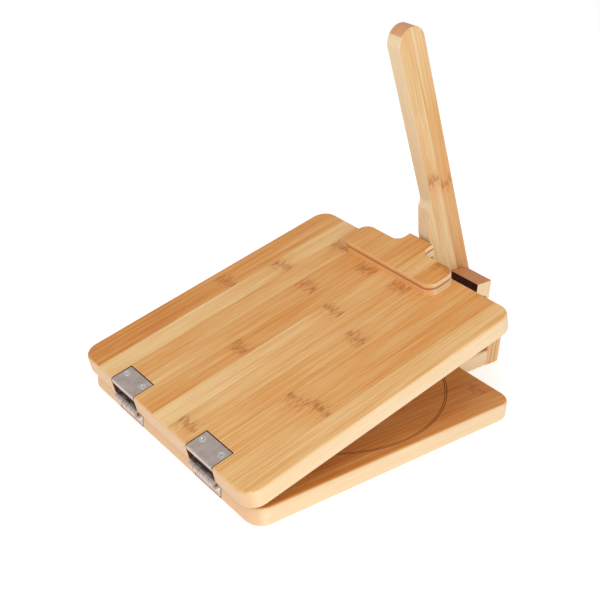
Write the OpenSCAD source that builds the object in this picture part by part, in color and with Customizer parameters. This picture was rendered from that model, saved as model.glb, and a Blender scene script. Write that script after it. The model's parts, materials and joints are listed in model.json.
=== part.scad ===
// Hand press for flattening dough: two hinged bamboo boards and a cam lever.
// Origin: centre of the base board's underside. +X to the lever, +Z up.

/* [Boards] */
// Length of both boards, hinge edge to lever edge
board_l = 242; // [220:1:260]
// Width of both boards
board_w = 215; // [200:1:230]
// Thickness of both boards
board_t = 15; // [14:0.5:18]
// Corner radius of the boards, seen from above
board_r = 13; // [8:1:20]
// Radius of the engraved guide circle
guide_r = 100; // [80:1:101]

/* [Lid] */
// Opening angle of the lid as it stands
lid_open = 16; // [10:1:20]
// How far the shut lid hangs over the hinge edge of the base
lid_overhang = 3.9; // [3.5:0.1:4.5]
// Gap between the shut lid and the base
lid_gap = 0.3; // [0.2:0.1:0.6]

/* [Pressure pad] */
// Width of the pad across the lid
pad_w = 101; // [90:1:110]
// Depth of the pad, without its tongue
pad_d = 27; // [24:1:30]
// Thickness of the pad
pad_t = 10; // [8:0.5:12]
// Width of the pad's tongue
pad_tongue_w = 26; // [20:1:30]
// How far the tongue reaches past the pad's shoulders
pad_tongue_d = 13; // [10:1:14]

/* [Lever] */
// Height of the pivot above the table
pivot_z = 60; // [58:1:62]
// Lever length from the pivot to its rounded end
lever_l = 235; // [200:1:260]
// Lever width, seen from the side
lever_w = 24; // [20:1:26]
// Lever thickness
lever_t = 13; // [10:0.5:13.5]
// Lean of the lever towards the hinges as it stands
lever_lean = 22.3; // [18:0.1:22.5]

/* [Rear bracket] */
// Thickness of each upright, front to back
upright_d = 16; // [16:1:18]
// Height of the uprights above the table
upright_h = 76.5; // [72:0.5:80]
// Width of the rear tongue and of the back plate
bracket_w = 88; // [80:1:96]
// Height of the back plate
plate_h = 40; // [30:1:41]

/* [Hinges] */
// Width of each hinge
hinge_w = 30; // [28:1:36]
// Distance of each hinge's middle from the centre line
hinge_y = 49.5; // [40:0.5:60]
// How far both hinges sit off the middle, towards the right side, in mm
hinge_shift = 3; // [0:0.5:6]
// Thickness of the hinge leaves
leaf_t = 1.5; // [1:0.1:2]
// Number of knuckles in each hinge
knuckles = 5; // [3:2:7]

/* [Hidden] */
$fn = 96;

eps = 0.01;
bamboo = [0.88, 0.68, 0.44];
pale_bamboo = [0.93, 0.78, 0.56];
steel = [0.66, 0.61, 0.58];

// Boards: edge positions, and the engraved guide's distance from the lever edge and groove size
hinge_edge = -board_l / 2;
lever_edge = board_l / 2;
guide_inset = 7.3;
guide_spacing = 1.4;
groove_w = 0.6;
groove_d = 0.4;

// Hinge axis, in front of the base's top edge, and its barrel
axis_out = 3.5;
axis_drop = 1.5;
axis_x = hinge_edge - axis_out;
axis_z = board_t - axis_drop;
barrel_r = 3.2;
hinge_pin_r = 1.5;
hinge_fit = 0.03;
hinge_bore_r = hinge_pin_r + hinge_fit;
barrel_room = 0.6;
knuckle_l = hinge_w / knuckles;
function hinge_mid(side) = side * hinge_y - hinge_shift;
knuckle_gap = 0.3;
neck_t = 1.6;
inlay_gap = 0.25;

// Lid, drawn shut: its hinge edge and its underside
lid_x = hinge_edge - lid_overhang;
lid_z = board_t + lid_gap;
lid_leaf_l = 17.5;
base_leaf_h = 11.5;

// Small countersunk screws of the hinge leaves
leaf_screw_r = 1.2;
leaf_screw_head_r = 2.7;
leaf_screw_l = 11;
leaf_screw_spread = 21.5;
lid_screw_inset = 11.3;
base_screw_drop = 7;

// Pad: its front edge on the shut lid, its corners and its dowels
pad_inset = 1;
pad_x = lid_x + board_l - pad_d - pad_inset;
pad_z = lid_z + board_t;
pad_corner_r = 9;
pad_fillet_r = 7;
dowel_r = 3;
dowel_depth = 6;
dowel_y = 30;

// Washers beside the lever, and the play that they leave it
washer_r = 8;
washer_t = 1;
lever_play = 0.3;

// Rear bracket: uprights, tongue and back plate
posts_w = 74;
post_setback = 22;
upright_gap = lever_t + 2 * (washer_t + lever_play);
upright_w = (posts_w - upright_gap) / 2;
upright_x = lever_edge + post_setback;
tongue_end = upright_x + upright_d;
plate_t = 15;
tongue_fillet_r = 8;

// Pivot
pivot_inset = 9;
pivot_x = upright_x + pivot_inset;
pivot_r = 4;
pivot_bore_r = pivot_r + 0.05;
pivot_fit_r = pivot_r + 0.02;
pivot_proud = 0.6;

// Lever: distance of its middle line behind the pivot, and its nose
lever_back = 5.2;
boss_r = 16.2;
nose_root = 16;
nose_top = 90;
nose_shoulder = [10.4, 85.4];
nose_front = [15.7, 62.7];
nose_heel = [17, 39.5];

// Wood screws of the bracket
wood_screw_r = 2;
wood_screw_head_r = 4;
wood_screw_head_h = 2.4;
upright_screw_l = 42;
upright_screw_y = [14, 30];
plate_screw_l = 28;
plate_screws = [[22, 30], [38, 7.5]];

// A flat board of size l by w, with rounded corners
module rounded_board(l, w, t, r) {
    linear_extrude(t) union() {
        translate([r, -w / 2]) square([l - 2 * r, w]);
        translate([0, r - w / 2]) square([l, w - 2 * r]);
        for (x = [r, l - r], y = [r - w / 2, w / 2 - r]) translate([x, y]) circle(r);
    }
}

// Concave corner fill of radius r, in the quadrant of positive x and y
module concave_fill(r) {
    difference() {
        translate([-eps, -eps]) square(r + eps);
        translate([r, r]) circle(r);
    }
}

// Turns what is drawn on the shut lid to the angle at which the lid stands
module on_lid() {
    translate([axis_x, 0, axis_z]) rotate([0, -lid_open, 0]) translate([-axis_x, 0, -axis_z]) children();
}

// Cylinder along Y, centred on y
module y_rod(r, l, y = 0) {
    translate([0, y, 0]) rotate([90, 0, 0]) cylinder(h = l, r = r, center = true);
}

// Countersunk screw: head face at the origin, shank along -Z
module countersunk(r, head_r, head_h, l) {
    translate([0, 0, -head_h]) cylinder(h = head_h, r1 = r, r2 = head_r);
    translate([0, 0, -l]) cylinder(h = l - head_h + eps, r = r);
}

// Screw places. Each puts its children with +Z out of the wood.
module at_lid_leaf_screws(side) {
    for (y = [-1, 1])
        on_lid() translate([lid_x + lid_screw_inset, hinge_mid(side) + y * leaf_screw_spread / 2, pad_z])
            children();
}

module at_base_leaf_screws(side) {
    for (y = [-1, 1])
        translate([hinge_edge, hinge_mid(side) + y * leaf_screw_spread / 2, base_screw_drop])
            rotate([0, -90, 0]) children();
}

module at_upright_screws() {
    for (side = [-1, 1], y = upright_screw_y)
        translate([upright_x + upright_d / 2, side * y, 0]) rotate([180, 0, 0]) children();
}

module at_plate_screws() {
    for (side = [-1, 1], p = plate_screws)
        translate([tongue_end + plate_t, side * p[0], p[1]]) rotate([0, 90, 0]) children();
}

module leaf_screw() {
    countersunk(leaf_screw_r, leaf_screw_head_r, leaf_t, leaf_screw_l);
}

module upright_screw() {
    countersunk(wood_screw_r, wood_screw_head_r, wood_screw_head_h, upright_screw_l);
}

module plate_screw() {
    countersunk(wood_screw_r, wood_screw_head_r, wood_screw_head_h, plate_screw_l);
}

// Room for the hinge barrel in the edge of a board
module barrel_space(side) {
    translate([axis_x, hinge_mid(side), axis_z]) y_rod(barrel_r + barrel_room, hinge_w + 2 * inlay_gap);
}

// Outline of the base board with its rear tongue
module base_outline() {
    tongue_l = tongue_end - lever_edge;
    translate([lever_edge - board_r, -bracket_w / 2]) square([tongue_l + board_r, bracket_w]);
    for (side = [-1, 1])
        translate([lever_edge, side * bracket_w / 2]) mirror([0, side < 0 ? 1 : 0]) concave_fill(tongue_fillet_r);
}

module guide_groove(r) {
    translate([lever_edge - guide_r - guide_inset, 0, board_t - groove_d]) difference() {
        cylinder(h = 1, r = r + groove_w / 2);
        translate([0, 0, -1]) cylinder(h = 3, r = r - groove_w / 2);
    }
}

module base_board() {
    color(bamboo) difference() {
        union() {
            translate([hinge_edge, 0, 0]) rounded_board(board_l, board_w, board_t, board_r);
            linear_extrude(board_t) base_outline();
        }
        for (k = [-0.5, 0.5]) guide_groove(guide_r + k * guide_spacing);
        for (side = [-1, 1]) {
            barrel_space(side);
            translate([hinge_edge - 1, hinge_mid(side) - hinge_w / 2 - inlay_gap, axis_z - base_leaf_h - inlay_gap])
                cube([1 + leaf_t, hinge_w + 2 * inlay_gap, board_t]);
            at_base_leaf_screws(side) leaf_screw();
        }
        at_upright_screws() upright_screw();
        at_plate_screws() plate_screw();
    }
}

module lid_board() {
    color(bamboo) difference() {
        on_lid() difference() {
            translate([lid_x, 0, lid_z]) rounded_board(board_l, board_w, board_t, board_r);
            for (side = [-1, 1]) {
                barrel_space(side);
                translate([lid_x - 1, hinge_mid(side) - hinge_w / 2 - inlay_gap, lid_z - 1])
                    cube([1 + leaf_t, hinge_w + 2 * inlay_gap, board_t + 2]);
                translate([lid_x - 1, hinge_mid(side) - hinge_w / 2 - inlay_gap, pad_z - leaf_t])
                    cube([1 + lid_leaf_l + inlay_gap, hinge_w + 2 * inlay_gap, leaf_t + 1]);
                translate([pad_x + pad_d / 2, side * dowel_y, pad_z - dowel_depth])
                    cylinder(h = dowel_depth + 1, r = dowel_r);
            }
        }
        for (side = [-1, 1]) at_lid_leaf_screws(side) leaf_screw();
    }
}

module pressure_pad() {
    tongue_x = pad_x + pad_d;
    color(bamboo) on_lid() translate([0, 0, pad_z]) difference() {
        union() {
            translate([pad_x, 0, 0]) rounded_board(pad_d, pad_w, pad_t, pad_corner_r);
            linear_extrude(pad_t) {
                translate([tongue_x - pad_corner_r, -pad_tongue_w / 2])
                    square([pad_tongue_d + pad_corner_r, pad_tongue_w]);
                for (side = [-1, 1])
                    translate([tongue_x, side * pad_tongue_w / 2])
                        mirror([0, side < 0 ? 1 : 0]) concave_fill(pad_fillet_r);
            }
        }
        for (side = [-1, 1])
            translate([pad_x + pad_d / 2, side * dowel_y, -1]) cylinder(h = dowel_depth + 1, r = dowel_r);
    }
}

module pad_dowels() {
    color(pale_bamboo) on_lid() for (side = [-1, 1])
        translate([pad_x + pad_d / 2, side * dowel_y, pad_z]) cylinder(h = 2 * dowel_depth, r = dowel_r, center = true);
}

// Side views of the lever: pivot at the origin, lever upwards, nose towards -x
module stick_outline() {
    grip_r = lever_w / 2;
    union() {
        circle(boss_r);
        translate([lever_back - grip_r, 0]) square([lever_w, lever_l - grip_r]);
        translate([lever_back, lever_l - grip_r]) circle(grip_r);
    }
}

module nose_outline() {
    polygon([
        [lever_back, 2], [-nose_root, 0], [-nose_heel[0], nose_heel[1]], [-nose_front[0], nose_front[1]],
        [-nose_shoulder[0], nose_shoulder[1]], [lever_back - lever_w / 2, nose_top], [lever_back, nose_top]
    ]);
}

module lever() {
    color(bamboo) translate([pivot_x, 0, pivot_z]) rotate([0, -lever_lean, 0]) difference() {
        union() {
            rotate([90, 0, 0]) linear_extrude(lever_t, center = true) stick_outline();
            rotate([90, 0, 0]) linear_extrude(lever_t, center = true) nose_outline();
        }
        y_rod(pivot_bore_r, lever_t + 2);
    }
}

module upright(side) {
    y_mid = side * (upright_gap + upright_w) / 2;
    color(pale_bamboo) difference() {
        translate([upright_x, y_mid - upright_w / 2, board_t]) cube([upright_d, upright_w, upright_h - board_t]);
        translate([pivot_x, 0, pivot_z]) y_rod(pivot_fit_r, bracket_w + 2);
        at_upright_screws() upright_screw();
        at_plate_screws() plate_screw();
    }
}

module back_plate() {
    color(bamboo) difference() {
        translate([tongue_end, -bracket_w / 2, 0]) cube([plate_t, bracket_w, plate_h]);
        at_plate_screws() plate_screw();
    }
}

module pivot_pin() {
    color(steel) translate([pivot_x, 0, pivot_z]) y_rod(pivot_r, upright_gap + 2 * (upright_w + pivot_proud));
}

module lever_washers() {
    color(steel) for (side = [-1, 1])
        translate([pivot_x, side * (upright_gap - washer_t) / 2, pivot_z]) difference() {
            y_rod(washer_r, washer_t);
            y_rod(pivot_fit_r, washer_t + 1);
        }
}

module upright_screws() {
    color(steel) at_upright_screws() upright_screw();
}

module back_plate_screws() {
    color(steel) at_plate_screws() plate_screw();
}

// Every second knuckle of one hinge: those of the base leaf start at 0, the lid's at 1
module hinge_barrel(side, first) {
    for (i = [first:2:knuckles - 1])
        translate([axis_x, hinge_mid(side), axis_z])
            y_rod(barrel_r, knuckle_l - knuckle_gap, (i + 0.5) * knuckle_l - hinge_w / 2);
}

// Cuts a leaf back around the other leaf's knuckles
module knuckle_slots(side, first) {
    for (i = [first:2:knuckles - 1])
        translate([axis_x, hinge_mid(side), axis_z])
            y_rod(barrel_r + barrel_room / 2, knuckle_l + knuckle_gap, (i + 0.5) * knuckle_l - hinge_w / 2);
}

// Where the base leaf turns out of its recess and wraps under its knuckles
module knuckle_necks(side, first) {
    for (i = [first:2:knuckles - 1])
        translate([axis_x, hinge_mid(side) + i * knuckle_l + (knuckle_gap - hinge_w) / 2, axis_z - barrel_r])
            cube([hinge_edge + leaf_t - axis_x, knuckle_l - knuckle_gap, neck_t]);
}

module hinge_bore(side) {
    translate([axis_x, hinge_mid(side), axis_z]) y_rod(hinge_bore_r, hinge_w + 2);
}

module base_leaf(side) {
    color(steel) difference() {
        union() {
            difference() {
                translate([hinge_edge, hinge_mid(side) - hinge_w / 2, axis_z - base_leaf_h])
                    cube([leaf_t, hinge_w, base_leaf_h]);
                knuckle_slots(side, 1);
            }
            hinge_barrel(side, 0);
            knuckle_necks(side, 0);
        }
        hinge_bore(side);
        at_base_leaf_screws(side) leaf_screw();
    }
}

module lid_leaf(side) {
    color(steel) difference() {
        on_lid() difference() {
            union() {
                difference() {
                    union() {
                        translate([lid_x, hinge_mid(side) - hinge_w / 2, axis_z])
                            cube([leaf_t, hinge_w, pad_z - axis_z]);
                        translate([lid_x, hinge_mid(side) - hinge_w / 2, pad_z - leaf_t])
                            cube([lid_leaf_l, hinge_w, leaf_t]);
                    }
                    knuckle_slots(side, 0);
                }
                hinge_barrel(side, 1);
            }
            hinge_bore(side);
        }
        at_lid_leaf_screws(side) leaf_screw();
    }
}

module hinge_pin(side) {
    color(steel) translate([axis_x, hinge_mid(side), axis_z]) y_rod(hinge_pin_r, hinge_w - knuckle_gap);
}

module base_leaf_screws(side) {
    color(steel) at_base_leaf_screws(side) leaf_screw();
}

module lid_leaf_screws(side) {
    color(steel) at_lid_leaf_screws(side) leaf_screw();
}

base_board();
lid_board();
pressure_pad();
pad_dowels();
lever();
upright(1);  // left_upright
upright(-1);  // right_upright
back_plate();
pivot_pin();
lever_washers();
upright_screws();
back_plate_screws();
base_leaf(1);  // left_base_leaf
base_leaf(-1);  // right_base_leaf
lid_leaf(1);  // left_lid_leaf
lid_leaf(-1);  // right_lid_leaf
hinge_pin(1);  // left_hinge_pin
hinge_pin(-1);  // right_hinge_pin
base_leaf_screws(1);  // left_base_leaf_screws
base_leaf_screws(-1);  // right_base_leaf_screws
lid_leaf_screws(1);  // left_lid_leaf_screws
lid_leaf_screws(-1);  // right_lid_leaf_screws
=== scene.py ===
import json
import math
import random

import bmesh
import bpy
from mathutils import Matrix, Vector


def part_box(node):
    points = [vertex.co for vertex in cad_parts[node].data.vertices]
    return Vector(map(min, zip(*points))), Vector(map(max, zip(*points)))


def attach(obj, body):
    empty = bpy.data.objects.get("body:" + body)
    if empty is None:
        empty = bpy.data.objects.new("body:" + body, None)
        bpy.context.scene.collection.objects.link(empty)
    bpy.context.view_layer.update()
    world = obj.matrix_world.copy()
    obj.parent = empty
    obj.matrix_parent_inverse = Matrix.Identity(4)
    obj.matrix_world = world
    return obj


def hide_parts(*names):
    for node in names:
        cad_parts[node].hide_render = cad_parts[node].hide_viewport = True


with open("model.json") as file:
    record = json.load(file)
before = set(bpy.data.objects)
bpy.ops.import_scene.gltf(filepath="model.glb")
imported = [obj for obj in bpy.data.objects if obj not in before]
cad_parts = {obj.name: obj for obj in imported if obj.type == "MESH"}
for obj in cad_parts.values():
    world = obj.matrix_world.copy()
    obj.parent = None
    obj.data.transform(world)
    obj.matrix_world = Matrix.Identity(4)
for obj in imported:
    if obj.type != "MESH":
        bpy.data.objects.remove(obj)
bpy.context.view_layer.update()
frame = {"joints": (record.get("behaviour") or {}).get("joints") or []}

mm = 0.001

# ---------------------------------------------------------------------------------------------
# Camera: it stands in front of the hinge edge, a little to the right, and looks down at the press
# ---------------------------------------------------------------------------------------------
CAMERA_TARGET = Vector((26.8, 40.9, 60.0)) * mm
CAMERA_DISTANCE = 851.5 * mm
CAMERA_HEADING = 50.05
CAMERA_ELEVATION = 27.63
CAMERA_ROLL = 3.885
CAMERA_LENS = 65.28


def turn(degrees, axis):
    return Matrix.Rotation(math.radians(degrees), 4, axis)


camera = bpy.data.objects.new("camera", bpy.data.cameras.new("camera"))
bpy.context.scene.collection.objects.link(camera)
camera.data.lens = CAMERA_LENS
camera.data.clip_start = 0.01
camera.matrix_world = (
    Matrix.Translation(CAMERA_TARGET)
    @ turn(CAMERA_HEADING - 90, "Z")
    @ turn(90 - CAMERA_ELEVATION, "X")
    @ turn(CAMERA_ROLL, "Z")
    @ Matrix.Translation((0, 0, CAMERA_DISTANCE))
)
bpy.context.scene.camera = camera

# ---------------------------------------------------------------------------------------------
# Places and sizes, from the frame where it has them
# ---------------------------------------------------------------------------------------------
joints = {j["name"]: j for j in frame["joints"]}
HINGE_AXIS = Vector(joints["lid_hinge"]["pos_m"])
PIVOT = Vector(joints["lever_pivot"]["pos_m"])

base_low, base_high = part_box("base_board")
BOARD_T = base_high.z
BOARD_W = base_high.y - base_low.y
HINGE_EDGE = base_low.x
TONGUE_END = base_high.x
LEVER_EDGE = -HINGE_EDGE
BOARD_L = LEVER_EDGE - HINGE_EDGE
BOARD_R = 13 * mm
RIM = 2.2 * mm

# The lid is made shut, then turned to the angle at which it stands
LID_OPEN = -joints["lid_hinge"]["range_deg"][0]
LID_X = HINGE_EDGE - 3.9 * mm
LID_Z = BOARD_T + 0.3 * mm
LID_TOP = LID_Z + BOARD_T
LID_TILT = Matrix.Translation(HINGE_AXIS) @ turn(-LID_OPEN, "Y") @ Matrix.Translation(-HINGE_AXIS)

LEVER_LEAN = 22.3
LEVER_TURN = Matrix.Translation(PIVOT) @ turn(-LEVER_LEAN, "Y")

STAY = Matrix.Identity(4)
SIDES = {"left": 1, "right": -1}


# ---------------------------------------------------------------------------------------------
# Mesh tools
# ---------------------------------------------------------------------------------------------
def arc(x, y, radius, start, stop, steps=12):
    """Points on a circle, from the start angle to the stop angle in degrees."""
    angles = (math.radians(start + (stop - start) * i / steps) for i in range(steps + 1))
    return [(x + radius * math.cos(a), y + radius * math.sin(a)) for a in angles]


def rounded_rectangle(x0, y0, x1, y1, radius, steps=12):
    return (
        arc(x1 - radius, y0 + radius, radius, -90, 0, steps)
        + arc(x1 - radius, y1 - radius, radius, 0, 90, steps)
        + arc(x0 + radius, y1 - radius, radius, 90, 180, steps)
        + arc(x0 + radius, y0 + radius, radius, 180, 270, steps)
    )


def soften(points, radii, steps=6):
    """The polygon with each corner rounded to its radius."""
    out = []
    for i, (point, radius) in enumerate(zip(points, radii)):
        p = Vector(point)
        before = (Vector(points[i - 1]) - p).normalized()
        after = (Vector(points[(i + 1) % len(points)]) - p).normalized()
        if not radius:
            out.append(tuple(p))
            continue
        half = before.angle(after) / 2
        centre = p + (before + after).normalized() * radius / math.sin(half)
        first, last = (p + side * radius / math.tan(half) - centre for side in (before, after))
        start = math.degrees(math.atan2(first.y, first.x))
        sweep = (math.degrees(math.atan2(last.y, last.x)) - start + 180) % 360 - 180
        out += arc(centre.x, centre.y, radius, start, start + sweep, steps)
    return out


def to_mesh(bm, name):
    mesh = bpy.data.meshes.new(name)
    bmesh.ops.remove_doubles(bm, verts=bm.verts, dist=1e-7)
    bmesh.ops.recalc_face_normals(bm, faces=bm.faces)
    bm.to_mesh(mesh)
    bm.free()
    return mesh


def prism(outline, low, high, normal="Z", rim=0.0, segments=4, rounds=lambda middle: True):
    """An outline swept from low to high along an axis, with its convex edges rounded by rim."""
    place = {
        "X": lambda u, v, w: (w, u, v),
        "Y": lambda u, v, w: (u, w, v),
        "Z": lambda u, v, w: (u, v, w),
    }[normal]
    bm = bmesh.new()
    rings = [[bm.verts.new(place(u, v, w)) for u, v in outline] for w in (low, high)]
    for ring in rings:
        bm.faces.new(ring)
    for i in range(len(outline)):
        bm.faces.new((rings[0][i - 1], rings[0][i], rings[1][i], rings[1][i - 1]))
    bmesh.ops.remove_doubles(bm, verts=bm.verts, dist=1e-7)
    bmesh.ops.recalc_face_normals(bm, faces=bm.faces)
    if rim:
        sharp = math.radians(35)
        edges = [
            e
            for e in bm.edges
            if e.calc_face_angle(0) > sharp
            and e.is_convex
            and rounds((e.verts[0].co + e.verts[1].co) / 2)
        ]
        bmesh.ops.bevel(
            bm, geom=edges, offset=rim, offset_type="OFFSET", segments=segments, profile=0.5,
            affect="EDGES", clamp_overlap=True,
        )
    return bm


def mirrored(profile):
    """A profile of (radius, height) up to its middle, continued as its own mirror image."""
    return profile + [(r, -z) for r, z in reversed(profile)]


def turned(profile, steps=48, ring=False):
    """A profile of (radius, height) turned about Z. A ring's profile is closed and has no centre.

    An end that is flat to the centre is closed by one face.
    """
    bm = bmesh.new()
    ends = ((profile[0], profile[1]), (profile[-1], profile[-2]))
    flat_low, flat_high = (centre[0] < 1e-9 and centre[1] == rim[1] for centre, rim in ends)
    profile = profile[flat_low:len(profile) - flat_high]
    loops = []
    for radius, height in profile:
        if radius < 1e-9:
            loops.append([bm.verts.new((0, 0, height))] * steps)
        else:
            circle = arc(0, 0, radius, 0, 360, steps)[:-1]
            loops.append([bm.verts.new((x, y, height)) for x, y in circle])
    for flat, loop in ((flat_low, loops[0]), (flat_high, loops[-1])):
        if flat:
            bm.faces.new(loop)
    pairs = list(zip(loops, loops[1:] + loops[:1])) if ring else list(zip(loops, loops[1:]))
    for lower, upper in pairs:
        for i in range(steps):
            corners = dict.fromkeys((lower[i - 1], lower[i], upper[i], upper[i - 1]))
            if len(corners) > 2:
                bm.faces.new(tuple(corners))
    return bm


def moved(bm, matrix):
    bmesh.ops.transform(bm, matrix=matrix, verts=bm.verts)
    return bm


def along_y(bm, x, y, z):
    """Turns what was made about Z to lie along Y, and moves it."""
    return moved(bm, Matrix.Translation((x, y, z)) @ turn(90, "X"))


def scratch_object(bm, name="tool", material=None):
    obj = bpy.data.objects.new(name, to_mesh(bm, name))
    bpy.context.scene.collection.objects.link(obj)
    if material:
        obj.data.materials.append(material)
    return obj


def with_modifiers(obj):
    """A new mesh of the object as its modifiers leave it."""
    bpy.context.view_layer.update()
    graph = bpy.context.evaluated_depsgraph_get()
    return bpy.data.meshes.new_from_object(
        obj.evaluated_get(graph), preserve_all_data_layers=True, depsgraph=graph
    )


def carve(bm, steps, material=None):
    """The solid with each (operation, tool, material) carried out in turn. Returns its mesh."""
    obj = scratch_object(bm, "blank", material)
    tools = []
    for operation, tool, tool_material in steps:
        tools.append(scratch_object(tool, "tool", tool_material))
        modifier = obj.modifiers.new("carve", "BOOLEAN")
        modifier.operation = operation
        modifier.solver = "EXACT"
        modifier.object = tools[-1]
        modifier.material_mode = "TRANSFER"
    mesh = with_modifiers(obj)
    for o in [obj] + tools:
        bpy.data.objects.remove(o)
    return mesh


def piece(name, mesh, node, body, materials=(), matrix=STAY, smooth=40):
    """Puts a finished mesh in the frame: flat faces stay flat and rounded edges shade smoothly."""
    obj = bpy.data.objects.new(name, mesh)
    bpy.context.scene.collection.objects.link(obj)
    obj.matrix_world = matrix
    if materials:
        mesh.materials.clear()
        for material in materials:
            mesh.materials.append(material)
    mesh.shade_smooth()
    mesh.set_sharp_from_angle(angle=math.radians(smooth))
    weighted = obj.modifiers.new("flat faces", "WEIGHTED_NORMAL")
    weighted.keep_sharp = True
    weighted.weight = 100
    final = with_modifiers(obj)
    obj.modifiers.clear()
    obj.data = final
    obj.data.name = name
    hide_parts(node)
    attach(obj, body)
    return obj


# ---------------------------------------------------------------------------------------------
# Materials
# ---------------------------------------------------------------------------------------------
def srgb(r, g, b):
    """A colour as seen on a screen, 0 to 255, in the linear values that shaders take."""
    return tuple(((v / 255 + 0.055) / 1.055) ** 2.4 if v > 10 else v / 3294 for v in (r, g, b)) + (1,)


class Web:
    """A material's nodes. Values given as sockets are linked, others are set."""

    def __init__(self, name):
        self.material = bpy.data.materials.new(name)
        self.material.use_nodes = True
        self.tree = self.material.node_tree
        self.shader = self.tree.nodes["Principled BSDF"]

    def put(self, kind, values=None, **settings):
        node = self.tree.nodes.new("ShaderNode" + kind)
        for key, value in settings.items():
            setattr(node, key, value)
        for key, value in (values or {}).items():
            self.give(node.inputs[key], value)
        return node

    def give(self, socket, value):
        if isinstance(value, bpy.types.NodeSocket):
            self.tree.links.new(value, socket)
        else:
            socket.default_value = value

    def math(self, operation, a, b=0.0, clamp=False):
        return self.put("Math", {0: a, 1: b}, operation=operation, use_clamp=clamp).outputs[0]

    def add(self, *values):
        total = values[0]
        for value in values[1:]:
            total = self.math("ADD", total, value)
        return total

    def times(self, a, b):
        return self.math("MULTIPLY", a, b)

    def vector(self, x, y, z):
        return self.put("CombineXYZ", {0: x, 1: y, 2: z}).outputs[0]

    def noise(self, x, y, z, detail=2.0, roughness=0.5):
        """Noise from -1 to 1 or so, at the scale that the coordinates set."""
        values = {"Vector": self.vector(x, y, z), "Scale": 1.0, "Detail": detail,
                  "Roughness": roughness}
        fac = self.put("TexNoise", values).outputs[0]
        return self.times(self.math("SUBTRACT", fac, 0.5), 2.0)

    def fade(self, value, start, stop, low=0.0, high=1.0):
        """Low where value is at start, high where it is at stop, smooth between."""
        return self.put(
            "MapRange", {0: value, 1: start, 2: stop, 3: low, 4: high},
            interpolation_type="SMOOTHSTEP", clamp=True,
        ).outputs[0]

    def ramp(self, fac, stops, interpolation="LINEAR"):
        node = self.put("ValToRGB", {0: fac})
        band = node.color_ramp
        band.interpolation = interpolation
        while len(band.elements) < len(stops):
            band.elements.new(0.5)
        for element, (place, _) in zip(band.elements, stops):
            element.position = place
        for element, (_, colour) in zip(band.elements, stops):
            element.color = colour
        return node.outputs

    def mix(self, fac, a, b):
        node = self.put("Mix", data_type="RGBA", blend_type="MIX", clamp_factor=True)
        self.give(node.inputs[0], fac)
        self.give(node.inputs[6], a)
        self.give(node.inputs[7], b)
        return node.outputs[2]

    def finish(self, colour, roughness, height, bump, depth, **shader):
        bumped = self.put("Bump", {"Height": height, "Strength": bump, "Distance": depth}).outputs[0]
        self.give(self.shader.inputs["Base Color"], colour)
        self.give(self.shader.inputs["Roughness"], roughness)
        self.give(self.shader.inputs["Normal"], bumped)
        for key, value in shader.items():
            self.shader.inputs[key.replace("_", " ")].default_value = value
        return self.material


# Bamboo colours, from the darkest streaks to the palest
DARK_BAMBOO = srgb(188, 108, 40)
WARM_BAMBOO = srgb(211, 143, 71)
TAN_BAMBOO = srgb(219, 167, 104)
PALE_BAMBOO = srgb(232, 196, 140)
FACE_COLOURS = [(0.0, DARK_BAMBOO), (0.34, WARM_BAMBOO), (0.62, TAN_BAMBOO), (1.0, PALE_BAMBOO)]
NODE_BROWN = srgb(150, 82, 34)
MARK_BROWN = srgb(160, 86, 36)
EDGE_BAMBOO = srgb(228, 204, 166)
EDGE_STREAK = srgb(212, 172, 122)
END_BAMBOO = srgb(217, 179, 138)
END_DOTS = srgb(192, 144, 102)
NO_MARK = 1.0


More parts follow.
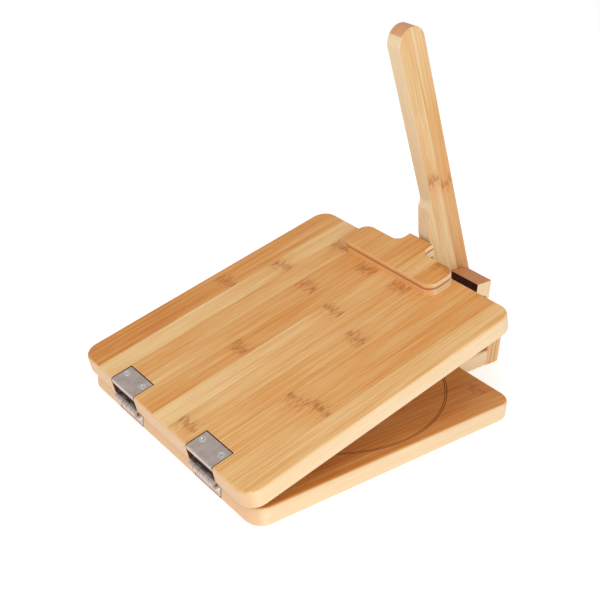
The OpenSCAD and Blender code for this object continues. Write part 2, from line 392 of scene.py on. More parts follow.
def bamboo(name, axes, corner, length, width, strips, seed, edge=EDGE_BAMBOO, end=END_BAMBOO,
           end_dots=END_DOTS, plies=(), ply_t=0.55 * mm, front=None, faces=FACE_COLOURS,
           end_from=0.35):
    """Glued bamboo strips that run along axes[0], side by side along axes[1], from the corner on.

    strips has, for each strip, how pale it is at its start and at its end, and where along it the
    marks of bamboo nodes cross it, as a share of twice its length. edge colours the strips' sides
    and end their cut ends, from the slope end_from on. plies are the heights of dark glue lines,
    ply_t is half their width, and front is a dark colour painted as shade on the face that looks
    backwards along axes[2].
    """
    web = Web(name)
    coordinates = web.put("TexCoord")
    place = web.put("SeparateXYZ", {0: coordinates.outputs["Object"]}).outputs
    facing = web.put("SeparateXYZ", {0: coordinates.outputs["Normal"]}).outputs
    grain, across, through = ("XYZ".index(axis) for axis in axes)
    a = web.math("SUBTRACT", place[grain], corner[0])
    b = web.math("SUBTRACT", place[across], corner[1])
    c = place[through]

    position = web.math("DIVIDE", b, width)
    number = web.math("FLOOR", position)
    inside = web.math("FRACT", position)
    chance = web.put("TexWhiteNoise", {"W": web.add(number, seed)}, noise_dimensions="1D").outputs[0]
    shift = web.times(chance, 50.0)

    stops = [(i / len(strips), strip) for i, strip in enumerate(strips)]
    listed = web.ramp(web.math("DIVIDE", web.add(number, 0.5), len(strips)), stops, "CONSTANT")
    tones = web.put("SeparateColor", {0: listed[0]}).outputs
    share = web.math("DIVIDE", a, length, clamp=True)
    tone = web.add(tones[0], web.times(web.math("SUBTRACT", tones[1], tones[0]), share))

    cloud = web.noise(web.add(web.times(a, 9), shift), web.times(number, 3.7), seed, detail=2)
    band = web.noise(web.add(web.times(a, 7), shift), web.times(b, 230), web.times(c, 230), detail=3)
    streak = web.noise(web.add(web.times(a, 18), shift), web.times(b, 900), web.times(c, 900), detail=3)
    fibre = web.noise(web.add(web.times(a, 60), shift), web.times(b, 3000), web.times(c, 3000))
    value = web.add(
        tone, web.times(cloud, 0.22), web.times(band, 0.34), web.times(streak, 0.42),
        web.times(fibre, 0.26),
    )
    face = web.ramp(value, faces)[0]

    from_middle = web.math("ABSOLUTE", web.math("SUBTRACT", inside, 0.5))
    seam = web.times(web.fade(from_middle, 0.475, 0.5), web.fade(band, -0.4, 0.4, 0.12, 0.5))
    face = web.mix(seam, face, NODE_BROWN)

    # The marks of nodes: ragged cross bands of short dark fibres, each with a darker halo
    wobble = web.noise(shift, web.times(b, 75), seed, detail=3)
    fleck = web.noise(web.add(web.times(a, 170), shift), web.times(b, 620), web.times(c, 620), detail=3)
    for mark in (tones[2], listed[1]):
        off = web.math("SUBTRACT", a, web.times(mark, 2 * length))
        distance = web.math("ABSOLUTE", web.add(off, web.times(wobble, 2.6 * mm)))
        flecks = web.times(web.fade(distance, 10 * mm, 2 * mm), web.fade(fleck, -0.1, 0.3))
        core = web.times(web.fade(distance, 5 * mm, 0.5 * mm), web.fade(fleck, -0.35, 0.3, 0.05, 0.75))
        halo = web.fade(web.math("ABSOLUTE", off), 26 * mm, 3 * mm, 0.0, 0.3)
        face = web.mix(halo, face, WARM_BAMBOO)
        face = web.mix(web.math("MAXIMUM", web.times(flecks, 0.75), core), face, MARK_BROWN)

    edge_value = web.add(0.3, web.times(band, 0.4), web.times(streak, 0.45), web.times(fibre, 0.2))
    side = web.mix(edge_value, edge, EDGE_STREAK)
    for middle in plies:
        line = web.math("ABSOLUTE", web.math("SUBTRACT", c, middle))
        side = web.mix(web.fade(line, ply_t, 0.55 * ply_t, 0.0, 0.7), side, NODE_BROWN)
    dots = web.noise(web.times(a, 40), web.times(b, 1700), web.times(c, 1700), detail=2)
    cut = web.mix(web.fade(dots, -0.1, 0.7, 0.05, 0.75), end, end_dots)
    for middle in plies:
        line = web.math("ABSOLUTE", web.math("SUBTRACT", c, middle))
        cut = web.mix(web.fade(line, ply_t, 0.55 * ply_t, 0.0, 0.7), cut, NODE_BROWN)

    colour = web.mix(web.fade(web.math("ABSOLUTE", facing[across]), 0.35, 0.8), face, side)
    colour = web.mix(web.fade(web.math("ABSOLUTE", facing[grain]), end_from, 0.8), colour, cut)
    # Painted shade: the face that looks backwards along axes[2] takes the dark front colour.
    if front:
        colour = web.mix(web.fade(facing[through], -0.6, -0.9), colour, front)

    height = web.add(web.times(streak, 0.5), web.times(fibre, 0.5), web.times(seam, -0.6))
    roughness = web.add(0.44, web.times(streak, 0.08), web.times(cloud, 0.04))
    return web.finish(colour, roughness, height, 0.25, 0.12 * mm, Specular_IOR_Level=0.35)


def steel(name, tint, dark, grain, polish=0.36, recess_shade=None):
    """Worn brushed steel: blotches, fine lines along one axis, and a few darker stains.

    The recess argument gives (greatest x, lowest z, highest z) of a recess whose shade is painted in,
    near-black.
    """
    web = Web(name)
    place = web.put("SeparateXYZ", {0: web.put("TexCoord").outputs["Object"]}).outputs
    fine = [90 if axis == grain else 3600 for axis in "XYZ"]
    lines = web.noise(*(web.times(place[i], fine[i]) for i in range(3)), detail=2)
    blotch = web.noise(*(web.times(place[i], 150) for i in range(3)), detail=4, roughness=0.6)
    stain = web.noise(*(web.times(place[i], 420) for i in range(3)), detail=3)
    colour = web.ramp(
        web.add(0.62, web.times(blotch, 0.45), web.times(lines, 0.14)), [(0.0, dark), (1.0, tint)]
    )[0]
    colour = web.mix(web.fade(stain, 0.25, 0.8, 0.0, 0.5), colour, dark)
    # Painted shade: inside the recess the steel is darkened to near-black for the shadow there.
    if recess_shade:
        far, low, high = recess_shade
        painted_shade = web.times(web.fade(place[2], low, low + 0.8 * mm), web.fade(place[2], high, high - 0.5 * mm))
        painted_shade = web.times(painted_shade, web.fade(place[0], far, far - 0.3 * mm))
        colour = web.mix(painted_shade, colour, srgb(26, 20, 18))
    roughness = web.add(polish, web.times(blotch, 0.12), web.times(stain, 0.06))
    return web.finish(colour, roughness, web.add(lines, web.times(stain, 0.5)), 0.12, 0.05 * mm,
                      Metallic=1.0)


def cut_wood(name, dark, light):
    """The walls of a routed recess or an engraved groove: rough, mottled, and dark with painted shade."""
    web = Web(name)
    place = web.put("SeparateXYZ", {0: web.put("TexCoord").outputs["Object"]}).outputs
    mottle = web.noise(*(web.times(place[i], 900) for i in range(3)), detail=3)
    colour = web.mix(web.fade(mottle, -0.6, 0.6), dark, light)
    return web.finish(colour, web.add(0.8, web.times(mottle, 0.1)), mottle, 0.3, 0.08 * mm)


def drawn_strips(seed, count, low=0.3, high=0.9):
    """Random strips, for pieces whose pattern hardly shows in the main view."""
    draw = random.Random(seed)
    return [
        (draw.uniform(low, high), draw.uniform(low, high),
         draw.uniform(0.04, 0.46) if draw.random() < 0.8 else NO_MARK, NO_MARK)
        for _ in range(count)
    ]


def marked(length, *strips):
    """Strips given as (tone at start, tone at end, then up to two node marks' distances)."""
    out = []
    for start, end, *marks in strips:
        shares = [mark / (2 * length) for mark in marks] + [NO_MARK, NO_MARK]
        out.append((start, end, *shares[:2]))
    return out


STRIP_W = 18.9 * mm
# Painted shade: the walls of recesses, screw holes and bores are dark brown for the shade inside them.
RECESS_WALL_SHADE = cut_wood("recess_wall_shade_bamboo", srgb(70, 32, 12), srgb(120, 66, 30))
# Painted shade: the guide grooves' walls are darkened for the shade in the grooves.
GROOVE = cut_wood("groove_shade_bamboo", srgb(104, 50, 20), srgb(150, 84, 40))

lid_strips = marked(
    BOARD_L,
    (0.70, 0.66), (0.64, 0.42, 83 * mm), (0.64, 0.46, 78 * mm), (0.54, 0.52, 148 * mm),
    (0.70, 0.52, 12 * mm, 209 * mm), (0.86, 0.62, 157 * mm), (0.48, 0.46, 85 * mm, 208 * mm),
    (0.60, 0.42, 164 * mm), (0.46, 0.62, 214 * mm), (0.88, 0.74, 168 * mm), (0.22, 0.46, 126 * mm),
    (0.30, 0.40),
)
LID_BAMBOO = bamboo("bamboo_lid", "XYZ", (LID_X, -BOARD_W / 2), BOARD_L, STRIP_W, lid_strips, 3.0)
# Painted shade: the base's strips are drawn darker (0.12 to 0.5) than the lid's, for the shade on its top
# in the gap under the lid.
base_strips = drawn_strips(11, 12, 0.12, 0.5)
base_strips[1], = marked(BOARD_L, (0.3, 0.3, 229 * mm))
BASE_BAMBOO = bamboo("bamboo_base", "XYZ", (HINGE_EDGE, -BOARD_W / 2), BOARD_L, STRIP_W, base_strips, 17.0)

PAD_INSET = 1 * mm
PAD_D = 27 * mm
PAD_W = 101 * mm
PAD_T = 10 * mm
PAD_TONGUE = 13 * mm
PAD_L = PAD_D + PAD_TONGUE
PAD_X = LID_X + BOARD_L - PAD_INSET - PAD_D
pad_strips = marked(
    PAD_L, (0.36, 0.30, 24 * mm), (0.62, 0.58), (0.44, 0.34), (0.52, 0.46), (0.46, 0.52),
    (0.36, 0.40),
)
PAD_BAMBOO = bamboo(
    "bamboo_pad", "XYZ", (PAD_X, -PAD_W / 2), PAD_L, STRIP_W, pad_strips, 31.0,
    end=srgb(230, 176, 118), end_dots=srgb(190, 126, 72), plies=(LID_TOP + 0.6 * PAD_T,), ply_t=1.3 * mm,
)
LEVER_BACK = 5.2 * mm
LEVER_W = 24 * mm
LEVER_L = 235 * mm
LEVER_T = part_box("lever")[1].y * 2
lever_strips = marked(LEVER_L, (0.86, 0.80, 109 * mm), (0.40, 0.82, 99 * mm), (0.5, 0.5))
LEVER_FACES = [(0.0, srgb(176, 102, 42)), (0.34, srgb(196, 134, 70)), (0.62, srgb(206, 156, 96)),
               (1.0, srgb(216, 188, 142))]
LEVER_BAMBOO = bamboo(
    "bamboo_lever", "ZXY", (0.0, LEVER_BACK - LEVER_W / 2), LEVER_L, LEVER_W / 2, lever_strips, 47.0,
    edge=srgb(222, 202, 168), end=srgb(206, 150, 108), end_dots=srgb(160, 104, 66), faces=LEVER_FACES,
    end_from=0.7,
)
# Painted shade: the uprights' front faces are coloured near-black for the deep shadow they sit in behind
# the lid.
UPRIGHT_BAMBOO = bamboo(
    "bamboo_uprights", "ZYX", (0.0, -0.05), 0.08, 10 * mm, drawn_strips(5, 10, 0.6, 0.95), 59.0,
    end=srgb(198, 134, 86), end_dots=srgb(136, 80, 46), front=srgb(48, 12, 12),
)
PLATE_BAMBOO = bamboo(
    "bamboo_back_plate", "YZX", (-0.05, 0.0), 0.1, 14 * mm, drawn_strips(8, 3, 0.5, 0.8), 71.0,
    end=srgb(218, 172, 118), plies=(TONGUE_END + 5 * mm, TONGUE_END + 9.5 * mm),
)
DOWEL_BAMBOO = bamboo(
    "bamboo_dowels", "ZXY", (0.0, 0.0), 0.02, 10 * mm, drawn_strips(9, 20, 0.7, 0.9), 83.0,
)
LEAF_TINT = srgb(226, 211, 203)
LEAF_DARK = srgb(158, 142, 134)
# Painted shade: the lid leaf's band between its lip and its knuckles is darkened near-black for the shadow
# in that gap.
LID_LEAF_STEEL = steel(
    "worn_and_shaded_lid_leaf_steel", LEAF_TINT, LEAF_DARK, "Y", 0.48,
    recess_shade=(LID_X + 3 * mm, BOARD_T + 1.6 * mm, LID_TOP - 4.6 * mm),
)
HINGE_STEEL = steel("worn_hinge_steel", LEAF_TINT, LEAF_DARK, "Y", 0.48)
BRIGHT_STEEL = steel("bright_steel", srgb(244, 240, 236), srgb(178, 172, 168), "Y", 0.42)
PIN_STEEL = steel("dull_pin_steel", srgb(150, 140, 134), srgb(84, 74, 70), "Y", 0.45)

# ---------------------------------------------------------------------------------------------
# Screws
# ---------------------------------------------------------------------------------------------
LEAF_T = 1.5 * mm
LEAF_SCREW_R = 1.2 * mm
LEAF_SCREW_L = 11 * mm
LEAF_SCREW_HEAD = 2.7 * mm
WOOD_SCREW_R = 2 * mm
WOOD_SCREW_HEAD = 4 * mm
WOOD_SCREW_HEAD_H = 2.4 * mm
UPRIGHT_SCREW_L = 42 * mm
PLATE_SCREW_L = 28 * mm


def cross_cutter(size, depth):
    """A four-armed bit that narrows downwards, for the recess of a screw head."""
    bm = bmesh.new()
    arm, half = size, 0.26 * size
    corners = [(arm, -half), (arm, half), (half, half), (half, arm), (-half, arm), (-half, half)]
    corners += [(-x, -y) for x, y in corners]
    top = [bm.verts.new((x, y, 0.3 * mm)) for x, y in corners]
    low = [bm.verts.new((0.45 * x, 0.45 * y, -depth)) for x, y in corners]
    bm.faces.new(top)
    bm.faces.new(low)
    for i in range(len(corners)):
        bm.faces.new((top[i - 1], top[i], low[i], low[i - 1]))
    return bm


def screw_mesh(radius, head_r, head_h, length, pitch, steps=20):
    """A countersunk cross-head wood screw: head face at the origin, point at -length."""
    bm = bmesh.new()
    core, tip = 0.72 * radius, 3.2 * radius
    rise = pitch / 6
    levels = int((length - head_h) / rise)
    rings = [[bm.verts.new((0, 0, -length))] * steps]
    for level in range(1, levels):
        z = -length + level * rise
        ring = []
        for i in range(steps):
            turn_share = (z / pitch - i / steps) % 1
            tooth = max(0.0, 1 - abs(turn_share - 0.5) * 5)
            plain = min(1.0, max(0.0, (-head_h - 1.2 * radius - z) / (2 * radius)))
            r = (core + (radius - core) * tooth * plain) * min(1.0, level * rise / tip)
            angle = 2 * math.pi * i / steps
            ring.append(bm.verts.new((r * math.cos(angle), r * math.sin(angle), z)))
        rings.append(ring)
    edge = 0.06 * head_r
    for r, z in ((core * 1.2, -head_h), (head_r, -2 * edge), (head_r, -edge), (head_r - edge, 0)):
        rings.append([bm.verts.new((x, y, z)) for x, y in arc(0, 0, r, 0, 360, steps)[:-1]])
    rings.append([bm.verts.new((0, 0, 0))] * steps)
    for lower, upper in zip(rings, rings[1:]):
        for i in range(steps):
            corners = dict.fromkeys((lower[i - 1], lower[i], upper[i], upper[i - 1]))
            bm.faces.new(tuple(corners))
    return carve(bm, [("DIFFERENCE", cross_cutter(0.58 * head_r, 0.75 * head_h), None)])


LEAF_SCREW = screw_mesh(LEAF_SCREW_R, LEAF_SCREW_HEAD, LEAF_T, LEAF_SCREW_L, 1.1 * mm, 24)
UPRIGHT_SCREW = screw_mesh(
    WOOD_SCREW_R, WOOD_SCREW_HEAD, WOOD_SCREW_HEAD_H, UPRIGHT_SCREW_L, 1.8 * mm
)
PLATE_SCREW = screw_mesh(
    WOOD_SCREW_R, WOOD_SCREW_HEAD, WOOD_SCREW_HEAD_H, PLATE_SCREW_L, 1.8 * mm
)


def copies(mesh, places):
    """One bmesh with the mesh at each place."""
    bm = bmesh.new()
    for matrix in places:
        copy = mesh.copy()
        copy.transform(matrix)
        bm.from_mesh(copy)
        bpy.data.meshes.remove(copy)
    return bm


def drill(places, radius, length, head_r=0.0, head_h=0.0, walls=RECESS_WALL_SHADE):
    """Cuts for the holes of screws at those places. They start above the surface they go into."""
    gap, over = 0.05 * mm, 1 * mm
    mouth = max(head_r, radius) + gap
    profile = [(0, -length), (radius + gap, -length), (radius + gap, -head_h)]
    profile += [(mouth, 0.02 * mm), (mouth, over), (0, over)]
    return [("DIFFERENCE", moved(turned(profile, 24), matrix), walls) for matrix in places]


HINGE_SPREAD = 49.5
HINGE_SHIFT = 3
HINGE_Y = {side: (side * HINGE_SPREAD - HINGE_SHIFT) * mm for side in SIDES.values()}
HINGE_W = 30 * mm
LEAF_SCREW_SPREAD = 21.5 * mm
LID_SCREW_INSET = 11.3 * mm
BASE_SCREW_Z = 7 * mm


def leaf_screw_y(side, k):
    return HINGE_Y[side] + k * LEAF_SCREW_SPREAD / 2


def lid_screw_places(side):
    return [
        Matrix.Translation((LID_X + LID_SCREW_INSET, leaf_screw_y(side, k), LID_TOP))
        @ turn(25 * k * side + 20, "Z")
        for k in (-1, 1)
    ]


def base_screw_places(side):
    return [
        Matrix.Translation((HINGE_EDGE, leaf_screw_y(side, k), BASE_SCREW_Z))
        @ turn(-90, "Y")
        @ turn(31 * k + 8 * side, "Z")
        for k in (-1, 1)
    ]


UPRIGHT_X = (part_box("left_upright")[0].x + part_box("left_upright")[1].x) / 2
PLATE_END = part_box("back_plate")[1].x
upright_screw_places = [
    Matrix.Translation((UPRIGHT_X, y * mm, 0)) @ turn(180, "X") @ turn(3 * y, "Z")
    for y in (-30, -14, 14, 30)
]
plate_screw_places = [
    Matrix.Translation((PLATE_END, side * y * mm, z * mm))
    @ turn(90, "Y")
    @ turn(y * side + z, "Z")
    for side in (-1, 1)
    for y, z in ((22, 30), (38, 7.5))
]


def screws(name, mesh, places, node, body="base", matrix=STAY):
    piece(name, to_mesh(copies(mesh, places), "screws"), node, body, [BRIGHT_STEEL], matrix)


for side_name, side in SIDES.items():
    screws(side_name + "_lid_leaf_screw_pair", LEAF_SCREW, lid_screw_places(side),
           side_name + "_lid_leaf_screws", "lid", LID_TILT)
    screws(side_name + "_base_leaf_screw_pair", LEAF_SCREW, base_screw_places(side),
           side_name + "_base_leaf_screws")
screws("upright_wood_screws", UPRIGHT_SCREW, upright_screw_places, "upright_screws")
screws("back_plate_wood_screws", PLATE_SCREW, plate_screw_places, "back_plate_screws")

# ---------------------------------------------------------------------------------------------
# Hinges
# ---------------------------------------------------------------------------------------------
BARREL_R = 3.2 * mm
HINGE_PIN_R = 1.5 * mm
HINGE_BORE_R = 1.53 * mm
KNUCKLES = 5
KNUCKLE_L = HINGE_W / KNUCKLES
KNUCKLE_GAP = 0.3 * mm
LID_LEAF_L = 17.5 * mm
BASE_LEAF_H = 11.5 * mm
INLAY_GAP = 0.8 * mm
BARREL_ROOM = 0.6 * mm
NECK_T = 1.6 * mm
LEAF_SCREW_SIZES = (LEAF_SCREW_R, LEAF_SCREW_L, LEAF_SCREW_HEAD, LEAF_T)

# The lid's leaf stands out as a lip at the top, and runs down behind it to the knuckles
LIP_Z = LID_TOP - 4.2 * mm
FLANGE_BACK = 1.7 * mm
FLANGE_T = 1.2 * mm


def rod(radius, length, x, y, z, steps=48):
    """A plain cylinder along Y, with its middle at the place."""
    return along_y(turned(mirrored([(0, -length / 2), (radius, -length / 2)]), steps), x, y, z)


def knuckle_y(side, index):
    return HINGE_Y[side] + (index + 0.5) * KNUCKLE_L - HINGE_W / 2


def knuckle(side, index):
    """One rolled knuckle with softened ends, before it is bored for the pin."""
    half, soft = (KNUCKLE_L - KNUCKLE_GAP) / 2, 0.3 * mm
    profile = [(0, -half), (BARREL_R - soft, -half), (BARREL_R - soft * 0.3, -half + soft * 0.3)]
    profile += [(BARREL_R, -half + soft)]
    place = (HINGE_AXIS.x, knuckle_y(side, index), HINGE_AXIS.z)
    return along_y(turned(mirrored(profile)), *place)


def barrel_cut(side, index, room):
    """Cuts a leaf back around one knuckle of the other leaf."""
    place = (HINGE_AXIS.x, knuckle_y(side, index), HINGE_AXIS.z)
    return rod(BARREL_R + room, KNUCKLE_L + 1.2 * KNUCKLE_GAP, *place)


def pin_bore(side):
    """The hole for the hinge pin. Its facets fall between those of the knuckles."""
    return rod(HINGE_BORE_R, HINGE_W + 2 * mm, HINGE_AXIS.x, HINGE_Y[side], HINGE_AXIS.z, 40)


def barrel_room(side):
    """Cuts a board back around the whole barrel."""
    length = HINGE_W + 2.2 * INLAY_GAP
    return rod(BARREL_R + BARREL_ROOM, length, HINGE_AXIS.x, HINGE_Y[side], HINGE_AXIS.z)


def box_outline(x0, y0, x1, y1):
    return [(x0, y0), (x1, y0), (x1, y1), (x0, y1)]


for side_name, side in SIDES.items():
    y0, y1 = HINGE_Y[side] - HINGE_W / 2, HINGE_Y[side] + HINGE_W / 2

    # The lid's leaf: a plate let into the top, bent down over the edge to its knuckles
    bend, flange_end = 1.9 * mm, LID_X + FLANGE_BACK + FLANGE_T
    outline = [(LID_X + LID_LEAF_L, LID_TOP - LEAF_T), (LID_X + LID_LEAF_L, LID_TOP)]
    outline += arc(LID_X + bend, LID_TOP - bend, bend, 90, 180, 6)
    outline += [(LID_X, LIP_Z + 0.6 * mm), (LID_X + FLANGE_BACK, LIP_Z)]
    outline += [(LID_X + FLANGE_BACK, HINGE_AXIS.z), (flange_end, HINGE_AXIS.z)]
    outline += [(flange_end, LID_TOP - LEAF_T)]
    steps = [("DIFFERENCE", barrel_cut(side, i, 0.5 * mm), None) for i in range(0, KNUCKLES, 2)]
    steps += [("UNION", knuckle(side, i), None) for i in range(1, KNUCKLES, 2)]
    steps += [("DIFFERENCE", pin_bore(side), None)]
    steps += drill(lid_screw_places(side), *LEAF_SCREW_SIZES, walls=None)
    mesh = carve(prism(outline, y0, y1, "Y", 0.25 * mm, 2), steps)
    piece(side_name + "_lid_leaf_plate", mesh, side_name + "_lid_leaf", "lid",
          [LID_LEAF_STEEL], LID_TILT, 30)

    # The base's leaf: a plate let into the edge, with a lip under each of its knuckles
    x0, x1 = HINGE_EDGE, HINGE_EDGE + LEAF_T
    low, high = HINGE_AXIS.z - BASE_LEAF_H, HINGE_AXIS.z
    steps = [("DIFFERENCE", barrel_cut(side, i, 0.3 * mm), None) for i in range(1, KNUCKLES, 2)]
    neck_z, inside = HINGE_AXIS.z - BARREL_R + 0.05 * mm, 0.03 * mm
    for i in range(0, KNUCKLES, 2):
        steps.append(("UNION", knuckle(side, i), None))
        ya = y0 + i * KNUCKLE_L + KNUCKLE_GAP / 2
        neck = prism(box_outline(HINGE_AXIS.x, neck_z, x1 - inside, neck_z + NECK_T),
                     ya + inside, ya + KNUCKLE_L - KNUCKLE_GAP - inside, "Y")
        steps.append(("UNION", neck, None))
    steps += [("DIFFERENCE", pin_bore(side), None)]
    steps += drill(base_screw_places(side), *LEAF_SCREW_SIZES, walls=None)
    mesh = carve(prism(box_outline(y0, low, y1, high), x0, x1, "X", 0.25 * mm, 2), steps)
    piece(side_name + "_base_leaf_plate", mesh, side_name + "_base_leaf", "base",
          [HINGE_STEEL], STAY, 30)

    half, soft = (HINGE_W - KNUCKLE_GAP) / 2, 0.35 * mm
    profile = mirrored([(0, -half), (HINGE_PIN_R - soft, -half), (HINGE_PIN_R, -half + soft)])
    pin = along_y(turned(profile, 32), HINGE_AXIS.x, HINGE_Y[side], HINGE_AXIS.z)
    piece(side_name + "_hinge_pin_rod", to_mesh(pin, "pin"), side_name + "_hinge_pin", "base",
          [PIN_STEEL])

# ---------------------------------------------------------------------------------------------
# Boards
# ---------------------------------------------------------------------------------------------
BRACKET_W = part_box("back_plate")[1].y * 2
TONGUE_FILLET = 8 * mm
GUIDE_R = 100 * mm
GUIDE_INSET = 7.3 * mm
GUIDE_SPACING = 1.4 * mm
GROOVE_W = 0.6 * mm
GROOVE_D = 0.4 * mm
GUIDE_X = LEVER_EDGE - GUIDE_R - GUIDE_INSET


def guide_groove(radius):
    near, far = radius - GROOVE_W / 2, radius + GROOVE_W / 2
    low, high = BOARD_T - GROOVE_D, BOARD_T + 1 * mm
    profile = [(near, low), (far, low), (far, high), (near, high)]
    return moved(turned(profile, 192, ring=True), Matrix.Translation((GUIDE_X, 0, 0)))


x, y, half = LEVER_EDGE, BOARD_W / 2, BRACKET_W / 2
outline = arc(x - BOARD_R, BOARD_R - y, BOARD_R, -90, 0)
outline += arc(x + TONGUE_FILLET, -half - TONGUE_FILLET, TONGUE_FILLET, 180, 90, 8)
outline += [(TONGUE_END, -half), (TONGUE_END, half)]
outline += arc(x + TONGUE_FILLET, half + TONGUE_FILLET, TONGUE_FILLET, 270, 180, 8)
outline += arc(x - BOARD_R, y - BOARD_R, BOARD_R, 0, 90)
outline += arc(HINGE_EDGE + BOARD_R, y - BOARD_R, BOARD_R, 90, 180)
outline += arc(HINGE_EDGE + BOARD_R, BOARD_R - y, BOARD_R, 180, 270)
blank = prism(outline, 0, BOARD_T, "Z", RIM, 5, lambda middle: middle.x < TONGUE_END - 0.1 * mm)
steps = [("DIFFERENCE", guide_groove(GUIDE_R + k * GUIDE_SPACING / 2), GROOVE) for k in (-1, 1)]
for side in SIDES.values():
    reach = HINGE_W / 2 + INLAY_GAP
    recess = prism(
        box_outline(HINGE_Y[side] - reach, HINGE_AXIS.z - BASE_LEAF_H - INLAY_GAP,
                    HINGE_Y[side] + reach, BOARD_T + 1 * mm),
        HINGE_EDGE - 1 * mm, HINGE_EDGE + LEAF_T + 0.02 * mm, "X",
    )
    steps += [("DIFFERENCE", barrel_room(side), RECESS_WALL_SHADE), ("DIFFERENCE", recess, RECESS_WALL_SHADE)]
    steps += drill(base_screw_places(side), LEAF_SCREW_R, LEAF_SCREW_L)
steps += drill(
    upright_screw_places, WOOD_SCREW_R, UPRIGHT_SCREW_L, WOOD_SCREW_HEAD, WOOD_SCREW_HEAD_H
)
steps += drill(plate_screw_places, WOOD_SCREW_R, PLATE_SCREW_L)
piece("lower_board", carve(blank, steps, BASE_BAMBOO), "base_board", "base")

outline = rounded_rectangle(LID_X, -BOARD_W / 2, LID_X + BOARD_L, BOARD_W / 2, BOARD_R)
blank = prism(outline, LID_Z, LID_TOP, "Z", RIM, 5)
steps = []
DOWEL_R = 3 * mm
DOWEL_DEPTH = 6 * mm
DOWEL_Y = 30 * mm
dowel_places = [
    Matrix.Translation((PAD_X + PAD_D / 2, side * DOWEL_Y, LID_TOP)) for side in (-1, 1)
]
for side in SIDES.values():
    reach = HINGE_W / 2 + INLAY_GAP
    ya, yb = HINGE_Y[side] - reach, HINGE_Y[side] + reach
    edge_recess = prism(box_outline(ya, LID_Z - 1 * mm, yb, LID_TOP + 1 * mm),
                        LID_X - 1 * mm, LID_X + FLANGE_BACK + FLANGE_T + 0.02 * mm, "X")
    top_recess = prism(box_outline(LID_X - 1 * mm, ya, LID_X + LID_LEAF_L + INLAY_GAP, yb),
                       LID_TOP - LEAF_T - 0.02 * mm, LID_TOP + 1 * mm, "Z")
    for tool in (barrel_room(side), edge_recess, top_recess):
        steps.append(("DIFFERENCE", tool, RECESS_WALL_SHADE))
    steps += drill(lid_screw_places(side), LEAF_SCREW_R, LEAF_SCREW_L)
steps += drill(dowel_places, DOWEL_R, DOWEL_DEPTH)
piece("upper_board", carve(blank, steps, LID_BAMBOO), "lid_board", "lid", (), LID_TILT)

# ---------------------------------------------------------------------------------------------
# Pad and its dowels
# ---------------------------------------------------------------------------------------------
PAD_R = 9 * mm
PAD_FILLET = 7 * mm
PAD_TONGUE_W = 26 * mm
x, y, half = PAD_X + PAD_D, PAD_W / 2, PAD_TONGUE_W / 2
end = x + PAD_TONGUE
corner = 0.8 * mm
outline = arc(x - PAD_R, PAD_R - y, PAD_R, -90, 0, 10)
outline += arc(x + PAD_FILLET, -half - PAD_FILLET, PAD_FILLET, 180, 90, 8)
outline += arc(end - corner, corner - half, corner, -90, 0, 4)
outline += arc(end - corner, half - corner, corner, 0, 90, 4)
outline += arc(x + PAD_FILLET, half + PAD_FILLET, PAD_FILLET, 270, 180, 8)
outline += arc(x - PAD_R, y - PAD_R, PAD_R, 0, 90, 10)
outline += arc(PAD_X + PAD_R, y - PAD_R, PAD_R, 90, 180, 10)
outline += arc(PAD_X + PAD_R, PAD_R - y, PAD_R, 180, 270, 10)
blank = prism(outline, LID_TOP, LID_TOP + PAD_T, "Z", 1.2 * mm, 4,
              lambda middle: middle.z > LID_TOP + 0.1 * mm)
flip = turn(180, "X")
steps = drill([place @ flip for place in dowel_places], DOWEL_R, DOWEL_DEPTH)
piece("pad_block", carve(blank, steps, PAD_BAMBOO), "pressure_pad", "lid", (), LID_TILT)

soft = 0.8 * mm
profile = [(0, -DOWEL_DEPTH), (DOWEL_R - soft, -DOWEL_DEPTH), (DOWEL_R, soft - DOWEL_DEPTH)]
dowel = to_mesh(turned(mirrored(profile), 32), "dowel")
piece("pad_dowel_pair", to_mesh(copies(dowel, dowel_places), "dowels"), "pad_dowels", "lid",
      [DOWEL_BAMBOO], LID_TILT)

# ---------------------------------------------------------------------------------------------
# Lever
# ---------------------------------------------------------------------------------------------
BOSS_R = 16.2 * mm
PIVOT_BORE_R = 4.05 * mm
grip = LEVER_W / 2
back, front = LEVER_BACK + grip, LEVER_BACK - grip
nose = soften(
    [(front, 120 * mm), (front, 90 * mm), (-10.4 * mm, 85.4 * mm), (-15.7 * mm, 62.7 * mm),
     (-17 * mm, 39.5 * mm), (-16.2 * mm, 0)],
    [0, 9 * mm, 7 * mm, 25 * mm, 25 * mm, 0], 6,
)
outline = [(back, 0)] + arc(LEVER_BACK, LEVER_L - grip, grip, 0, 180, 24) + nose
outline += arc(0, 0, BOSS_R, 180, 360, 24)[1:]
blank = prism(outline, -LEVER_T / 2, LEVER_T / 2, "Y", 1.4 * mm, 4)
steps = [("DIFFERENCE", rod(PIVOT_BORE_R, LEVER_T + 2 * mm, 0, 0, 0), RECESS_WALL_SHADE)]
piece("lever_bar", carve(blank, steps, LEVER_BAMBOO), "lever", "lever", (), LEVER_TURN)

# ---------------------------------------------------------------------------------------------
# Rear bracket and pivot
# ---------------------------------------------------------------------------------------------
PIVOT_FIT_R = 4.02 * mm
for side_name, side in SIDES.items():
    low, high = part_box(side_name + "_upright")
    outline = box_outline(low.y, low.z, high.y, high.z)
    blank = prism(outline, low.x, high.x, "X", 0.9 * mm, 4, lambda middle: middle.z > BOARD_T + 0.1 * mm)
    steps = [("DIFFERENCE", rod(PIVOT_FIT_R, BRACKET_W + 2 * mm, PIVOT.x, 0, PIVOT.z), RECESS_WALL_SHADE)]
    steps += drill(upright_screw_places, WOOD_SCREW_R, UPRIGHT_SCREW_L)
    steps += drill(plate_screw_places, WOOD_SCREW_R, PLATE_SCREW_L)
    piece(side_name + "_upright_post", carve(blank, steps, UPRIGHT_BAMBOO), side_name + "_upright",
          "base")

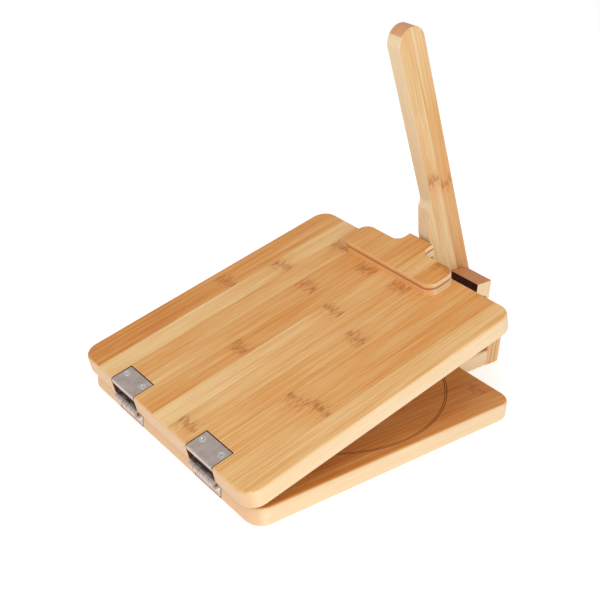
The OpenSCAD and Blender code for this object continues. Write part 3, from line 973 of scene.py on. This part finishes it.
low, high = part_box("back_plate")
blank = prism(box_outline(low.y, low.z, high.y, high.z), low.x, high.x, "X", 1.1 * mm, 4)
steps = drill(plate_screw_places, WOOD_SCREW_R, PLATE_SCREW_L, WOOD_SCREW_HEAD, WOOD_SCREW_HEAD_H)
piece("back_plate_board", carve(blank, steps, PLATE_BAMBOO), "back_plate", "base")

PIVOT_R = 4 * mm
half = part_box("pivot_pin")[1].y
soft = 0.7 * mm
socket = 3 * mm
profile = [(0, socket - half), (2.2 * mm, socket - half), (2.4 * mm, 0.3 * mm - half)]
profile += [(2.6 * mm, -half), (PIVOT_R - soft, -half)]
profile += [(PIVOT_R - 0.3 * soft, 0.3 * soft - half), (PIVOT_R, soft - half)]
pin = along_y(turned(mirrored(profile)), PIVOT.x, 0, PIVOT.z)
piece("pivot_pin_rod", to_mesh(pin, "pin"), "pivot_pin", "base", [PIN_STEEL])

WASHER_R = 8 * mm
WASHER_T = 1 * mm
LEVER_PLAY = 0.3 * mm
half, soft, rings = WASHER_T / 2, 0.2 * mm, bmesh.new()
for side in (-1, 1):
    profile = [(PIVOT_FIT_R, soft - half), (PIVOT_FIT_R + soft, -half), (WASHER_R - soft, -half)]
    profile += [(WASHER_R, soft - half)]
    y = side * (LEVER_T / 2 + LEVER_PLAY + WASHER_T / 2)
    rings.from_mesh(to_mesh(along_y(turned(mirrored(profile), ring=True), PIVOT.x, y, PIVOT.z), "washer"))
piece("lever_washer_pair", to_mesh(rings, "washers"), "lever_washers", "base", [BRIGHT_STEEL])

# ---------------------------------------------------------------------------------------------
# Stage and light
# ---------------------------------------------------------------------------------------------
floor = scratch_object(prism(rounded_rectangle(-3, -3, 3, 3, 0.5), -0.02, -0.1 * mm), "floor")
floor_web = Web("pale_floor")
floor_web.shader.inputs["Base Color"].default_value = (0.9, 0.9, 0.9, 1)
floor_web.shader.inputs["Roughness"].default_value = 0.9
floor_web.shader.inputs["Emission Color"].default_value = (1, 1, 1, 1)
floor_web.shader.inputs["Emission Strength"].default_value = 0.4
floor.data.materials.append(floor_web.material)

world = bpy.data.worlds.new("studio")
world.use_nodes = True
world.node_tree.nodes["Background"].inputs[0].default_value = (1, 1, 1, 1)
world.node_tree.nodes["Background"].inputs[1].default_value = 0.6
bpy.context.scene.world = world
bpy.context.scene.view_settings.view_transform = "Standard"


def soft_light(name, place, aim, size, power):
    light = bpy.data.lights.new(name, "AREA")
    light.shape = "DISK"
    light.size = size
    light.energy = power
    obj = bpy.data.objects.new(name, light)
    bpy.context.scene.collection.objects.link(obj)
    obj.location = place
    obj.rotation_euler = (Vector(aim) - Vector(place)).to_track_quat("-Z", "Y").to_euler()


centre = (0.0, 0.0, 0.05)
soft_light("key", (-0.9, -0.5, 1.3), centre, 0.9, 9)
soft_light("front_fill", (-0.5, -1.5, 0.6), centre, 1.0, 8)
